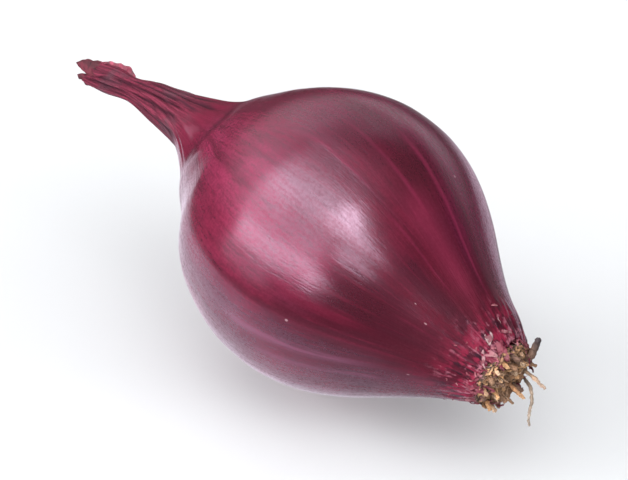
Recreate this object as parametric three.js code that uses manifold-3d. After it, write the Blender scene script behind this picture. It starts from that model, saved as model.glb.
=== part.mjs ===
// A red onion set: a small spindle-shaped bulb in its dry skin, with the corky root plate and the
// dried roots at one end and the shrivelled neck with torn leaf tips at the other.
//
// Everything is modelled as the plant stands in the ground, in millimetres: +Y runs up the plant's
// own axis, from the roots to the neck, and y = 0 is the widest section of the bulb. The finished
// pieces are then laid down on the table, root end lowered, on the small flat spot of the belly.
// In the laid frame +Z is up, the root end points along +X, and the origin is the middle of the
// flat spot.

import * as THREE from "three";
import { mergeVertices } from "three/addons/utils/BufferGeometryUtils.js";
import Module from "manifold-3d";

const wasm = await Module();
wasm.setup();

// ---- Driving dimensions ------------------------------------------------------------------------

const DIAMETER = 22; // across the widest section
const ROOT_LENGTH = 16.8; // from the widest section down to the root plate
const DOME_LENGTH = 11.9; // from the widest section up to the foot of the neck
const NECK_LENGTH = 12.7; // from the foot of the neck to its dry end
const PLATE_RADIUS = 2.65; // of the corky disc that the roots grow from
const TILT_DEG = 9; // how far the root end hangs below level when the bulb lies down
const FLAT_DEPTH = 0.2; // how much of the belly the flat spot takes off
const GAP = 0.06; // between pieces that grow against each other

const RADIUS = DIAMETER / 2;
const NECK_END = DOME_LENGTH + NECK_LENGTH;
const BEND_START = 0.65 * DOME_LENGTH; // where the plant's middle line leaves the bulb's axis
const NECK_TOP = NECK_END + 0.25; // the middle of its slightly domed end
const PLATE_TOP = -ROOT_LENGTH - GAP;
const PLATE_THICKNESS = 0.45;
const PLATE_SIDES = 24;
const DEG = Math.PI / 180;

// ---- Colours -----------------------------------------------------------------------------------

const skin = new THREE.MeshStandardMaterial({ color: 0x7a2240, roughness: 0.42 });
const driedLeaf = new THREE.MeshStandardMaterial({ color: 0x6e2438, roughness: 0.65 });
const cork = new THREE.MeshStandardMaterial({ color: 0x8a6a48, roughness: 0.9 });
const driedRoot = new THREE.MeshStandardMaterial({ color: 0xb8955f, roughness: 0.85 });

// ---- Helpers -----------------------------------------------------------------------------------

const clamp01 = (t) => Math.min(1, Math.max(0, t));

function smoothstep(from, to, value) {
  const t = clamp01((value - from) / (to - from));
  return t * t * (3 - 2 * t);
}

// 1 at the middle, falling smoothly to almost nothing two widths away.
function bell(middle, width, value) {
  return Math.exp(-(((value - middle) / width) ** 2));
}

// A repeatable number from 0 to 1 for the n-th piece and one of its features.
function scatter(n, feature) {
  const wave = Math.sin(n * 12.9898 + feature * 78.233) * 43758.5453;
  return wave - Math.floor(wave);
}

// Moves every vertex of a geometry by a function that changes a Vector3 in place.
function reshape(geometry, change) {
  const position = geometry.getAttribute("position");
  const v = new THREE.Vector3();
  for (let i = 0; i < position.count; i++) {
    change(v.fromBufferAttribute(position, i));
    position.setXYZ(i, v.x, v.y, v.z);
  }
  return geometry;
}

function toSolid(geometry) {
  const bare = geometry.clone();
  bare.deleteAttribute("normal");
  bare.deleteAttribute("uv");
  const merged = mergeVertices(bare, 1e-4);
  return new wasm.Manifold(
    new wasm.Mesh({
      numProp: 3,
      vertProperties: merged.attributes.position.array,
      triVerts: new Uint32Array(merged.index.array),
    }),
  );
}

function toGeometry(solid) {
  const mesh = solid.getMesh();
  const geometry = new THREE.BufferGeometry();
  geometry.setAttribute("position", new THREE.BufferAttribute(mesh.vertProperties, 3));
  geometry.setIndex(new THREE.BufferAttribute(mesh.triVerts, 1));
  geometry.computeVertexNormals();
  return geometry;
}

// A rod of changing thickness along a curve. widthAt and thicknessAt give the half sizes at a
// share of its length, so that equal ones make a round root and unequal ones a flat blade. It is
// extruded as a thread first, so that each corner is surely nearest to its own section's centre.
const THREAD_RADIUS = 0.02;

function rodAlong(curve, steps, sides, widthAt, thicknessAt = widthAt) {
  const section = new THREE.Shape().absarc(0, 0, THREAD_RADIUS, 0, 2 * Math.PI);
  const thread = new THREE.Shape(section.getSpacedPoints(sides).slice(0, sides));
  const rod = new THREE.ExtrudeGeometry(thread, { steps, extrudePath: curve, bevelEnabled: false });
  const centres = curve.getSpacedPoints(steps);
  const frames = curve.computeFrenetFrames(steps, false);
  const offset = new THREE.Vector3();
  return reshape(rod, (v) => {
    const distances = centres.map((centre) => v.distanceToSquared(centre));
    const nearest = distances.indexOf(Math.min(...distances));
    const share = nearest / steps;
    offset.subVectors(v, centres[nearest]).divideScalar(THREAD_RADIUS);
    const across = offset.dot(frames.normals[nearest]) * widthAt(share);
    const through = offset.dot(frames.binormals[nearest]) * thicknessAt(share);
    v.copy(centres[nearest])
      .addScaledVector(frames.normals[nearest], across)
      .addScaledVector(frames.binormals[nearest], through);
  });
}

// ---- The bulb, one grown piece with its neck ---------------------------------------------------

const BULB_SIDES = 54;
const BULB_RINGS = 50;
const NECK_LEAN = new THREE.Vector3(-0.86, 0, -0.51); // the way the neck bends over
const NECK_FOLDS = 6;
const NECK_TWIST = 0.09; // radians that the folds turn for each millimetre of neck

// Radius against height. The root side is a long cone, the neck side a round shoulder that
// sweeps into the neck; the neck narrows to a waist and flares a little at its dry end.
function bulbOutline() {
  const stations = [
    [0.235 * RADIUS, -ROOT_LENGTH],
    [0.375 * RADIUS, -0.84 * ROOT_LENGTH],
    [0.565 * RADIUS, -0.65 * ROOT_LENGTH],
    [0.765 * RADIUS, -0.46 * ROOT_LENGTH],
    [0.91 * RADIUS, -0.29 * ROOT_LENGTH],
    [0.985 * RADIUS, -0.13 * ROOT_LENGTH],
    [RADIUS, 0],
    [0.98 * RADIUS, 0.2 * DOME_LENGTH],
    [0.895 * RADIUS, 0.42 * DOME_LENGTH],
    [0.745 * RADIUS, 0.64 * DOME_LENGTH],
    [0.535 * RADIUS, 0.83 * DOME_LENGTH],
    [0.385 * RADIUS, 0.96 * DOME_LENGTH],
    [0.27 * RADIUS, DOME_LENGTH + 0.07 * NECK_LENGTH],
    [0.187 * RADIUS, DOME_LENGTH + 0.26 * NECK_LENGTH],
    [0.13 * RADIUS, DOME_LENGTH + 0.5 * NECK_LENGTH],
    [0.079 * RADIUS, DOME_LENGTH + 0.69 * NECK_LENGTH],
    [0.1 * RADIUS, DOME_LENGTH + 0.84 * NECK_LENGTH],
    [0.084 * RADIUS, NECK_END],
  ].map(([radius, height]) => new THREE.Vector2(radius, height));
  const foot = new THREE.Vector2(0, -ROOT_LENGTH);
  const end = new THREE.Vector2(0, NECK_TOP);
  return [foot, ...new THREE.SplineCurve(stations).getSpacedPoints(BULB_RINGS), end];
}

// Where one side stands out more than the rest: how high up the plant and towards which side,
// how far it spreads along and round the plant, and by what share of the radius it stands out.
const SIDE_SWELLS = [
  { height: 12.6, towards: 212, along: 2.3, round: 48, share: 0.27 }, // the foot of the bent neck
  { height: 7.5, towards: 195, along: 2.8, round: 40, share: 0.025 }, // the shoulder below it
  { height: -8, towards: 40, along: 7, round: 55, share: 0.03 }, // the upper flank
  { height: -16, towards: 40, along: 2.2, round: 60, share: 0.16 }, // the upper rim of the foot
  { height: -10, towards: 228, along: 6, round: 50, share: 0.03 }, // the lower flank
];

function sideSwell(angle, height) {
  let sum = 0;
  for (const { height: middle, towards, along, round, share } of SIDE_SWELLS) {
    const turned = THREE.MathUtils.euclideanModulo(angle - towards * DEG + Math.PI, 2 * Math.PI);
    sum += share * bell(middle, along, height) * bell(Math.PI, round * DEG, turned);
  }
  return sum;
}

// How far the shape is from round: soft facets on the belly, deep dry folds on the neck.
function bulbSwell(angle, height) {
  const belly =
    0.011 * Math.cos(2 * angle + 0.6) +
    0.008 * Math.cos(3 * angle + 2.1) +
    0.006 * Math.cos(5 * angle + 0.3) +
    0.004 * Math.cos(8 * angle + 1.7);
  const onNeck = smoothstep(0.85 * DOME_LENGTH, DOME_LENGTH + 0.45 * NECK_LENGTH, height);
  const turned = angle + NECK_TWIST * (height - DOME_LENGTH);
  const folds = 0.08 * Math.cos(NECK_FOLDS * turned) + 0.05 * Math.cos(4 * turned + 1.1);
  return 1 + belly * (1 - onNeck) + folds * onNeck + sideSwell(angle, height);
}

// Where the plant's middle line runs: straight through the bulb, then over to one side along the
// neck, after a first small step to the other side.
const NECK_BEND = new THREE.CubicBezierCurve(
  new THREE.Vector2(0, BEND_START),
  new THREE.Vector2(-1.0, DOME_LENGTH),
  new THREE.Vector2(0.4, DOME_LENGTH + 0.6 * NECK_LENGTH),
  new THREE.Vector2(1.7, NECK_END),
);

function neckLean(height) {
  const share = clamp01((height - BEND_START) / (NECK_END - BEND_START));
  return NECK_LEAN.clone().multiplyScalar(NECK_BEND.getPoint(share).x);
}

function bulbSurface() {
  const lathe = new THREE.LatheGeometry(bulbOutline(), BULB_SIDES);
  return reshape(lathe, (v) => {
    const swell = bulbSwell(Math.atan2(v.z, v.x), v.y);
    const flattened = 1 - 0.25 * smoothstep(DOME_LENGTH + 0.6 * NECK_LENGTH, NECK_END, v.y);
    v.x *= swell / flattened;
    v.z *= swell * flattened;
    v.add(neckLean(v.y));
  });
}

// ---- The root plate ----------------------------------------------------------------------------

// The height of the plate's domed underside at a distance from its middle.
function plateFace(distance) {
  const share = clamp01(distance / PLATE_RADIUS);
  return PLATE_TOP - PLATE_THICKNESS * (1 - 0.75 * share ** 4);
}

function rootPlate() {
  const underside = [0, 0.4, 0.7, 0.88, 1].map(
    (share) => new THREE.Vector2(share * PLATE_RADIUS, plateFace(share * PLATE_RADIUS)),
  );
  const rim = new THREE.Vector2(PLATE_RADIUS, PLATE_TOP);
  const top = new THREE.Vector2(0, PLATE_TOP);
  return new THREE.LatheGeometry([...underside, rim, top], PLATE_SIDES);
}

// ---- The roots ---------------------------------------------------------------------------------

const ROOT_GAP = 0.16; // between the plate and the start of a root
const ROOT_SIDES = 6;
const STUB_STEPS = 6;
const LONG_ROOT_STEPS = 12;
const ELBOW_ROOM = 0.55; // from the foot of a short root to the middle of a long one
const STUB_REACH = 1.6; // no short root reaches further than this below the plate's rim

// Rings of roots that broke off short, from the edge of the plate to its middle.
const STUB_RINGS = [
  { count: 17, ring: 2.2, lean: 0.5, length: 0.6 },
  { count: 12, ring: 1.45, lean: 0.3, length: 0.65 },
  { count: 6, ring: 0.65, lean: 0.1, length: 0.6 },
];

// The few roots that stand out of the tuft. Each follows its own points: x and z are measured
// across the plate from its middle, y away from the plate's face.
const LONG_ROOTS = {
  hanging_root: {
    thickness: 0.17,
    points: [
      [1.95, 0, -1.2],
      [2.0, -0.5, -1.4],
      [2.0, -1.1, -1.9],
      [1.7, -1.55, -2.6],
      [1.4, -1.75, -3.6],
      [1.6, -1.85, -4.9],
    ],
  },
  straight_root: {
    thickness: 0.18,
    points: [
      [1.6, 0, -0.1],
      [1.75, -0.7, -0.25],
      [1.9, -1.4, -0.5],
      [2.15, -2.1, -0.95],
    ],
  },
  side_root: {
    thickness: 0.2,
    points: [
      [0.2, 0, -0.6],
      [0.25, -0.5, -0.7],
      [0.3, -1.0, -0.85],
      [0.45, -1.6, -1.2],
    ],
  },
  upturned_root: {
    thickness: 0.25,
    points: [
      [1.75, 0, 0.7],
      [1.95, -0.3, 1.1],
      [2.15, -0.4, 1.9],
      [2.4, -0.4, 2.75],
    ],
  },
};

// A short root stands at an angle round the plate, a little off its ring.
function stubFoot(index, angle, ring) {
  const distance = ring + 0.2 * (scatter(index, 5) - 0.5);
  return new THREE.Vector3(distance * Math.cos(angle), 0, distance * Math.sin(angle));
}

// It leaves the plate square, leans outwards and curls to one side.
function stub(index, foot, { lean, length }) {
  const reach = length * (0.5 + scatter(index, 1));
  const curl = 0.5 * (scatter(index, 2) - 0.5);
  const thickness = 0.18 + 0.1 * scatter(index, 3);
  const outwards = foot.clone().normalize();
  const sideways = new THREE.Vector3(-outwards.z, 0, outwards.x);
  const start = foot.clone();
  start.y = plateFace(foot.length() - thickness) - ROOT_GAP;
  const points = [0, 0.3, 0.65, 1].map((share) =>
    start
      .clone()
      .addScaledVector(outwards, lean * reach * share * (0.35 + 0.65 * share))
      .addScaledVector(sideways, curl * share * share)
      .add(new THREE.Vector3(0, -reach * share, 0)),
  );
  const curve = new THREE.CatmullRomCurve3(points);
  return rodAlong(curve, STUB_STEPS, ROOT_SIDES, (share) => thickness * (1 - 0.3 * share));
}

function longRootCurve({ thickness, points }) {
  const [footX, , footZ] = points[0];
  const face = plateFace(Math.hypot(footX, footZ) - thickness) - ROOT_GAP;
  return new THREE.CatmullRomCurve3(
    points.map(([x, y, z]) => new THREE.Vector3(x, face + y, z)),
  );
}

function longRoot(root) {
  const widthAt = (share) => root.thickness * (1 - 0.35 * share ** 2);
  return rodAlong(longRootCurve(root), LONG_ROOT_STEPS, ROOT_SIDES, widthAt);
}

// Whether a short root's foot is clear of the long ones where they are close to the plate.
const LOW_ROOT_POINTS = Object.values(LONG_ROOTS)
  .flatMap((root) => longRootCurve(root).getSpacedPoints(LONG_ROOT_STEPS))
  .filter((point) => point.y > PLATE_TOP - STUB_REACH);

function hasElbowRoom(foot) {
  return LOW_ROOT_POINTS.every(
    (point) => Math.hypot(foot.x - point.x, foot.z - point.z) > ELBOW_ROOM,
  );
}

function stubs() {
  const made = [];
  let index = 0;
  for (const ring of STUB_RINGS) {
    for (let i = 0; i < ring.count; i++) {
      index += 1;
      const angle = ((i + 0.3 * scatter(index, 4)) / ring.count) * 2 * Math.PI;
      const foot = stubFoot(index, angle, ring.ring);
      if (hasElbowRoom(foot)) made.push(stub(index, foot, ring));
    }
  }
  return made;
}

// ---- The torn leaf tips at the end of the neck -------------------------------------------------

// Narrow dry blades that go on from the neck's end, side by side across its mouth: how far each
// foot is from the middle, how far the blade drifts back, and its sizes.
const MOUTH_WAY = new THREE.Vector3(0.8, 0, 0.6);
const LEAF_TIPS = [
  { foot: 0.25, drift: -0.55, length: 1.15, width: 0.38 },
  { foot: -0.65, drift: -0.2, length: 0.55, width: 0.3 },
];
const LEAF_THICKNESS = 0.15;

function leafTip({ foot, drift, length, width }) {
  const start = neckLean(NECK_END).addScaledVector(MOUTH_WAY, foot);
  const points = [0, 0.35, 0.7, 1].map((share) => {
    const point = start.clone().addScaledVector(MOUTH_WAY, drift * share * (0.4 + 0.6 * share));
    return point.setY(NECK_TOP + GAP + length * share);
  });
  const curve = new THREE.CatmullRomCurve3(points);
  const taper = (share) => 1 - 0.75 * share ** 1.6;
  const widthAt = (share) => width * taper(share);
  const thicknessAt = (share) => LEAF_THICKNESS * taper(share);
  return rodAlong(curve, 8, 8, widthAt, thicknessAt);
}

// A flake of the outermost sheath that has peeled off one side of the neck near its end.
const FLAKE_HEIGHT = DOME_LENGTH + 0.85 * NECK_LENGTH;
const FLAKE_DISTANCE = 1.46; // from the neck's middle line
const FLAKE_LEAN = 0.12; // radians that it leans with the neck
const FLAKE_HALF = { width: 0.7, length: 0.9, thickness: 0.14 };

function leafFlake() {
  const flake = new THREE.SphereGeometry(1, 16, 10);
  flake.scale(FLAKE_HALF.thickness, FLAKE_HALF.length, FLAKE_HALF.width);
  flake.rotateZ(FLAKE_LEAN);
  flake.translate(FLAKE_DISTANCE, 0, 0);
  flake.rotateY(Math.atan2(NECK_LEAN.z, -NECK_LEAN.x));
  const middle = neckLean(FLAKE_HEIGHT);
  return flake.translate(middle.x, FLAKE_HEIGHT, middle.z);
}

// ---- Laying it down ----------------------------------------------------------------------------

// Turns the plant's frame so that its roots point along +X and hang below level by the tilt.
function lyingTurn() {
  const tilt = THREE.MathUtils.degToRad(TILT_DEG);
  return new THREE.Matrix4().makeBasis(
    new THREE.Vector3(0, 1, 0),
    new THREE.Vector3(-Math.cos(tilt), 0, Math.sin(tilt)),
    new THREE.Vector3(Math.sin(tilt), 0, Math.cos(tilt)),
  );
}

// The shift that puts the flat spot in the plane z = 0, with its middle at the origin.
function restingShift(turned) {
  turned.computeBoundingBox();
  const cut = turned.boundingBox.min.z + FLAT_DEPTH;
  const touching = new THREE.Box2();
  const position = turned.getAttribute("position");
  for (let i = 0; i < position.count; i++) {
    if (position.getZ(i) < cut) {
      touching.expandByPoint(new THREE.Vector2(position.getX(i), position.getY(i)));
    }
  }
  const middle = touching.getCenter(new THREE.Vector2());
  return new THREE.Matrix4().makeTranslation(-middle.x, -middle.y, -cut);
}

const turn = lyingTurn();
const shift = restingShift(bulbSurface().applyMatrix4(turn));
const lie = shift.multiply(turn);

// Everything of the bulb that would be under the table is cut away, which leaves the flat spot.
function bulb() {
  const reach = 4 * DIAMETER;
  const aboveTable = new THREE.BoxGeometry(reach, reach, reach).translate(0, 0, reach / 2);
  return toGeometry(toSolid(bulbSurface().applyMatrix4(lie)).intersect(toSolid(aboveTable)));
}

// ---- Assembly ----------------------------------------------------------------------------------

const onionSet = new THREE.Group();
onionSet.name = "onion_set";

function addPiece(name, geometry, material) {
  const mesh = new THREE.Mesh(geometry, material);
  mesh.name = name;
  onionSet.add(mesh);
}

addPiece("bulb", bulb(), skin);
addPiece("root_plate", rootPlate().applyMatrix4(lie), cork);

stubs().forEach((geometry, i) => {
  addPiece(`root_${String(i + 1).padStart(2, "0")}`, geometry.applyMatrix4(lie), driedRoot);
});
for (const [name, root] of Object.entries(LONG_ROOTS)) {
  addPiece(name, longRoot(root).applyMatrix4(lie), driedRoot);
}
LEAF_TIPS.forEach((tip, i) => {
  addPiece(`leaf_tip_${i + 1}`, leafTip(tip).applyMatrix4(lie), driedLeaf);
});
addPiece("leaf_flake", leafFlake().applyMatrix4(lie), driedLeaf);

export default onionSet;
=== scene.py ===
import math
import random

import bpy
import numpy as np
from mathutils import Matrix, Vector, noise


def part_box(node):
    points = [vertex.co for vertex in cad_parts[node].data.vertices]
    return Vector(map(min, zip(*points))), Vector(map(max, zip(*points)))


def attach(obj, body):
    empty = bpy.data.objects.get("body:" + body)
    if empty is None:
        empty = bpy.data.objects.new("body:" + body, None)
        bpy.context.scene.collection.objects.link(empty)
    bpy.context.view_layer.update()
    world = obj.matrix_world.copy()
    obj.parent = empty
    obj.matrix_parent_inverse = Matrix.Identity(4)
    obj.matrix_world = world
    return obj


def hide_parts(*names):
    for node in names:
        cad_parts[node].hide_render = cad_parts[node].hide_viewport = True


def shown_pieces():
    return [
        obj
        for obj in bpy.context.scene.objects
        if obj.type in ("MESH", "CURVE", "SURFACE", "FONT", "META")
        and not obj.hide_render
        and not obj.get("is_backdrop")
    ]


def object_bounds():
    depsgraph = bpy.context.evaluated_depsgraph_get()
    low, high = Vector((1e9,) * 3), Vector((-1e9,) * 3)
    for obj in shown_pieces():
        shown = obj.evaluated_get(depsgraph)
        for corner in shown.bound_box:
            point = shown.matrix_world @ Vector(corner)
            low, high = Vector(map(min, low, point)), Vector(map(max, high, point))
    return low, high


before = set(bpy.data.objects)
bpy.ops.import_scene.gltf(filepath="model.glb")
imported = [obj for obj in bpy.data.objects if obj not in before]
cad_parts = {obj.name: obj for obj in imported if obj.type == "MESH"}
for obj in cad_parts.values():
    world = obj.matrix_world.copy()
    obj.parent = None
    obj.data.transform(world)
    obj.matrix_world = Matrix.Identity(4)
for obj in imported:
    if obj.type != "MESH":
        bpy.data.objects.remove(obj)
cad_low, cad_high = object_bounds()
bpy.ops.object.select_all(action="DESELECT")


# ---- The dry skin --------------------------------------------------------
# The papery outer scale of the bulb, grown in one piece with its neck and dried on the plant. It
# is taut and glossy over the belly, frayed at the root plate, and shrunk into folds on the neck.

# Heights run along the plant from its widest section towards the neck. Angles turn round it, from
# 0 on the side that lies towards +Y to a quarter turn on top. Both are used before the plant is
# laid down, with sizes in millimetres.
MM = 0.001
BULB_RADIUS = 11
NECK_FOOT = 11.9
NECK_END = 24.6
SKIN_OUTLINE = [  # height, radius
    (-16.8, 2.59),
    (-14.1, 4.12),
    (-10.9, 6.2),
    (-7.75, 8.4),
    (-4.85, 10.0),
    (-2.2, 10.83),
    (0, BULB_RADIUS),
    (2.4, 10.78),
    (5.0, 9.85),
    (7.6, 8.2),
    (9.9, 5.88),
    (11.4, 4.35),
    (12.8, 3.05),
    (15.2, 2.0),
    (18.2, 1.36),
    (20.6, 0.86),
    (22.6, 1.02),
    (NECK_END, 0.84),
]
SKIN_RINGS = [  # from height, to height, distance between rings
    (-16.8, -13.5, 0.22),
    (-13.5, 8.0, 0.55),
    (8.0, 14.0, 0.25),
    (14.0, NECK_END, 0.22),
]
FOOT_HOLLOW = [(-16.1, 0.3), (-16.15, 1.5), (-16.3, 2.3)]
NECK_HOLLOW = [(24.5, 0.8), (23.6, 0.66), (22.6, 0.5), (21.8, 0.2)]
SKIN_SIDES = 144
LINE_STEPS = 12


def line_through(points, steps):
    """A smooth line through points, with the given steps between each two."""
    points = [np.array(point, float) for point in points]
    padded = [points[0], *points, points[-1]]
    line = []
    for before, start, end, after in zip(padded, padded[1:], padded[2:], padded[3:]):
        for t in np.linspace(0, 1, steps, endpoint=False):
            slope = (end - before) * t
            bend = (2 * before - 5 * start + 4 * end - after) * t**2
            turn = (3 * start - 3 * end + after - before) * t**3
            line.append(start + (slope + bend + turn) / 2)
    return np.array([*line, points[-1]])


def step_between(low, high, value):
    """0 below low, 1 above high, and smooth in between."""
    t = np.clip((value - low) / (high - low), 0, 1)
    return t * t * (3 - 2 * t)


def bump_at(middle, half_width, value):
    """1 at the middle, falling smoothly to nothing a little over a half width away."""
    return np.exp(-(((value - middle) / half_width) ** 2))


def turn_from(middle, angle):
    """How far an angle is from the middle one, the short way round."""
    return (angle - middle + math.pi) % (2 * math.pi) - math.pi


def noise_at(columns, seed):
    """Smooth noise from about -1 to 1 for points given by their three columns."""
    shift = Vector((17.3 * seed, -9.1 * seed, 5.7 * seed))
    return np.array([noise.noise(Vector(point) + shift) for point in np.stack(columns, 1)])


def read_points(piece):
    points = np.empty(len(piece.data.vertices) * 3)
    piece.data.vertices.foreach_get("co", points)
    return points.reshape(-1, 3)


def write_points(piece, points):
    piece.data.vertices.foreach_set("co", np.asarray(points, float).ravel())
    piece.data.update()


def paint(piece, name, values, kind="FLOAT"):
    """Stores one value, or one vector, for each vertex under a name that a material reads."""
    attribute = piece.data.attributes.new(name, kind, "POINT")
    field = "value" if kind == "FLOAT" else "vector"
    attribute.data.foreach_set(field, np.asarray(values, np.float32).ravel())


def apply_modifier(piece, kind, **settings):
    bpy.context.view_layer.objects.active = piece
    modifier = piece.modifiers.new(kind.title(), kind)
    for name, value in settings.items():
        setattr(modifier, name, value)
    bpy.ops.object.modifier_apply(modifier=modifier.name)


def extrude_rings(rings):
    """Carries the selected cap through rings of height and radius, given in millimetres."""
    for (height, radius), (next_height, next_radius) in zip(rings, rings[1:]):
        rise = (0, 0, (next_height - height) * MM)
        bpy.ops.mesh.extrude_region_move(TRANSFORM_OT_translate={"value": rise})
        grow = next_radius / radius
        middle = (0, 0, next_height * MM)
        bpy.ops.transform.resize(value=(grow, grow, 1), center_override=middle)


# The line from the roots to the neck end starts to bend over to one side in the shoulder.
BEND_START = 0.65 * NECK_FOOT
NECK_SIDEWAYS = 0.86
NECK_DOWNWARDS = 0.51
NECK_BEND = [0, -1.0, 0.4, 1.7]


def neck_lean(height):
    """How far the plant's middle line has left the bulb's axis, as two columns."""
    t = np.clip((height - BEND_START) / (NECK_END - BEND_START), 0, 1)
    weights = [(1 - t) ** 3, 3 * (1 - t) ** 2 * t, 3 * (1 - t) * t**2, t**3]
    bend = sum(weight * way for weight, way in zip(weights, NECK_BEND))
    return -NECK_DOWNWARDS * bend, -NECK_SIDEWAYS * bend


# Where the plant lies: its axis leans a little below level towards the roots, and runs through the
# middle of the root plate.
LEAN = math.radians(9)
PLATE_MIDDLE = -16.915
plate_low, plate_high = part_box("root_plate")
lying = (
    Matrix.Translation((plate_low + plate_high) / 2)
    @ Matrix.Rotation(LEAN - math.pi / 2, 4, "Y")
    @ Matrix.Translation((0, 0, -PLATE_MIDDLE * MM))
)


def lay_down(piece):
    """Lays a piece that was made along the plant's upright axis, and leaves its place in its mesh."""
    bpy.ops.object.select_all(action="DESELECT")
    piece.select_set(True)
    bpy.context.view_layer.objects.active = piece
    piece.matrix_world = lying @ piece.matrix_world
    bpy.ops.object.transform_apply(location=True, rotation=True, scale=True)
    bpy.ops.object.shade_smooth()
    piece.select_set(False)


skin_line = line_through(SKIN_OUTLINE, LINE_STEPS)
ring_heights = [h for low, high, step in SKIN_RINGS for h in np.arange(low, high, step)]
ring_heights.append(NECK_END)
ring_radii = np.interp(ring_heights, skin_line[:, 0], skin_line[:, 1])
skin_rings = [*FOOT_HOLLOW, *zip(ring_heights, ring_radii), *NECK_HOLLOW]

first_height, first_radius = skin_rings[0]
bpy.ops.mesh.primitive_circle_add(
    vertices=SKIN_SIDES,
    radius=first_radius * MM,
    fill_type="TRIFAN",
    location=(0, 0, first_height * MM),
)
skin = bpy.context.object
skin.name = "bulb_skin"
bpy.ops.object.transform_apply(location=True)
bpy.ops.object.mode_set(mode="EDIT")
extrude_rings(skin_rings)
bpy.ops.mesh.select_all(action="SELECT")
bpy.ops.mesh.normals_make_consistent(inside=False)
bpy.ops.object.mode_set(mode="OBJECT")
apply_modifier(skin, "SUBSURF", levels=1, render_levels=1)

points = read_points(skin) / MM
height = points[:, 2]
radius = np.hypot(points[:, 0], points[:, 1])
angle = np.arctan2(points[:, 0], points[:, 1])


def noise_round(turn, round_scale, length_scale, seed):
    """Noise over the skin: so many patches to each radian round it, and to each millimetre along."""
    columns = round_scale * np.cos(turn), round_scale * np.sin(turn), length_scale * height
    return noise_at(columns, seed)


# Broad facets pressed into the bulb by its neighbours, and lobes along its inner scales.
BELLY_WAVES = [  # waves round the bulb, turned by, depth as a share of the radius
    (2, 0.6, 0.011),
    (3, 2.1, 0.008),
    (5, 0.3, 0.006),
    (8, 1.7, 0.004),
]
BELLY_DENTS = [  # patches to each radian, to each millimetre, seed, depth as a share of the radius
    (6, 0.12, 2, 0.0016),
    (2, 0.3, 3, 0.0012),
]
belly = sum(depth * np.cos(waves * angle + turned) for waves, turned, depth in BELLY_WAVES)
for round_scale, length_scale, seed, depth in BELLY_DENTS:
    belly += depth * noise_round(angle, round_scale, length_scale, seed)

# Where one side stands out more than the rest: four places on the bent neck, then the shoulder
# below it, the back, the upper flank, the upper rim of the foot, and the lower flank.
SIDE_SWELLS = [  # height, angle in degrees, spread along, spread round in degrees, share
    (19.7, 40, 1.1, 55, 0.27),
    (17.5, 217, 2.0, 50, 0.15),
    (12.6, 212, 2.3, 48, 0.3),
    (12.2, 37, 1.6, 40, 0.05),
    (7.5, 195, 2.8, 40, 0.04),
    (2, 45, 6, 60, 0.012),
    (-8, 40, 7, 55, 0.03),
    (-16, 40, 2.2, 60, 0.13),
    (-10, 228, 6, 50, 0.045),
]
side_swell = 0 * angle
for middle, towards, along, spread, share in SIDE_SWELLS:
    turn = turn_from(math.radians(towards), angle)
    side_swell += share * bump_at(middle, along, height) * bump_at(0, math.radians(spread), turn)

# The dried neck: rounded folds that turn slowly round it, with a line of painted shade where two
# of them meet.
FOLD_TWIST = 0.07
FOLD_MIDDLE = 0.2
FOLDS = [  # folds to each radian, to each millimetre, seed, depth, width of the line, its darkness
    (1.25, 0.11, 4, 0.3, 0.06, 0.6),
    (4.2, 0.2, 5, 0.2, 0.08, 0.5),
]
on_neck = step_between(0.9 * NECK_FOOT, 1.4 * NECK_FOOT, height)
twisted = angle + FOLD_TWIST * (height - NECK_FOOT)
folds = 0 * angle
crease_shade = 0 * angle
for round_scale, length_scale, seed, depth, line_width, line_shade in FOLDS:
    fold = np.abs(noise_round(twisted, round_scale, length_scale, seed))
    folds += depth * (fold - FOLD_MIDDLE)
    crease_shade += line_shade * np.clip(1 - fold / line_width, 0, 1)
crease_shade *= on_neck

# The deep creases between the sheaths that shrank together, each from its upper end to its lower,
# with painted shade in each.
NECK_CREASES = [  # angle and height up there, the same down here, half width, depth
    (112, 22.6, 122, 15.2, 9, 0.15),
    (152, 20.9, 147, 14.8, 9, 0.13),
    (92, 21.5, 108, 13.6, 6, 0.09),
    (72, 20.6, 90, 12.8, 7, 0.1),
    (48, 20.2, 66, 13.4, 9, 0.12),
    (132, 24.6, 133, 20.6, 8, 0.12),
    (168, 24.6, 160, 20.0, 9, 0.1),
    (186, 19.6, 178, 14.4, 8, 0.08),
    (10, 22.0, 25, 13.0, 10, 0.14),
    (-30, 21.0, -18, 14.0, 9, 0.1),
    (-75, 22.4, -60, 13.2, 10, 0.14),
    (-118, 21.0, -104, 13.8, 9, 0.12),
]
CREASE_WOBBLE = 7
LOWER_FADE = (-0.8, 1.6)
UPPER_FADE = (0.3, -1.2)
wobble = math.radians(CREASE_WOBBLE) * noise_round(angle, 2, 0.5, 6)
for upper_angle, upper_height, lower_angle, lower_height, half_width, depth in NECK_CREASES:
    share = np.clip((upper_height - height) / (upper_height - lower_height), 0, 1)
    middle = np.radians(upper_angle + (lower_angle - upper_angle) * share) + wobble
    dent = bump_at(0, math.radians(half_width), turn_from(middle, angle))
    dent *= step_between(lower_height + LOWER_FADE[0], lower_height + LOWER_FADE[1], height)
    dent *= step_between(upper_height + UPPER_FADE[0], upper_height + UPPER_FADE[1], height)
    folds -= depth * dent
    crease_shade += dent**2

# A rounded ridge stands between the two creases in front. Its pink is a painted highlight.
RIDGE_ANGLE = 140
RIDGE_ANGLE_HEIGHT = 16
RIDGE_TWIST = 2
RIDGE_HALF_WIDTH = 13
RIDGE_RISE = 0.07
ridge_turn = math.radians(RIDGE_TWIST) * (height - RIDGE_ANGLE_HEIGHT)
ridge_middle = math.radians(RIDGE_ANGLE) - ridge_turn + wobble
ridge = bump_at(0, math.radians(RIDGE_HALF_WIDTH), turn_from(ridge_middle, angle))
ridge *= step_between(14.6, 16.4, height) * step_between(21.6, 19.6, height)
folds += RIDGE_RISE * ridge

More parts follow.
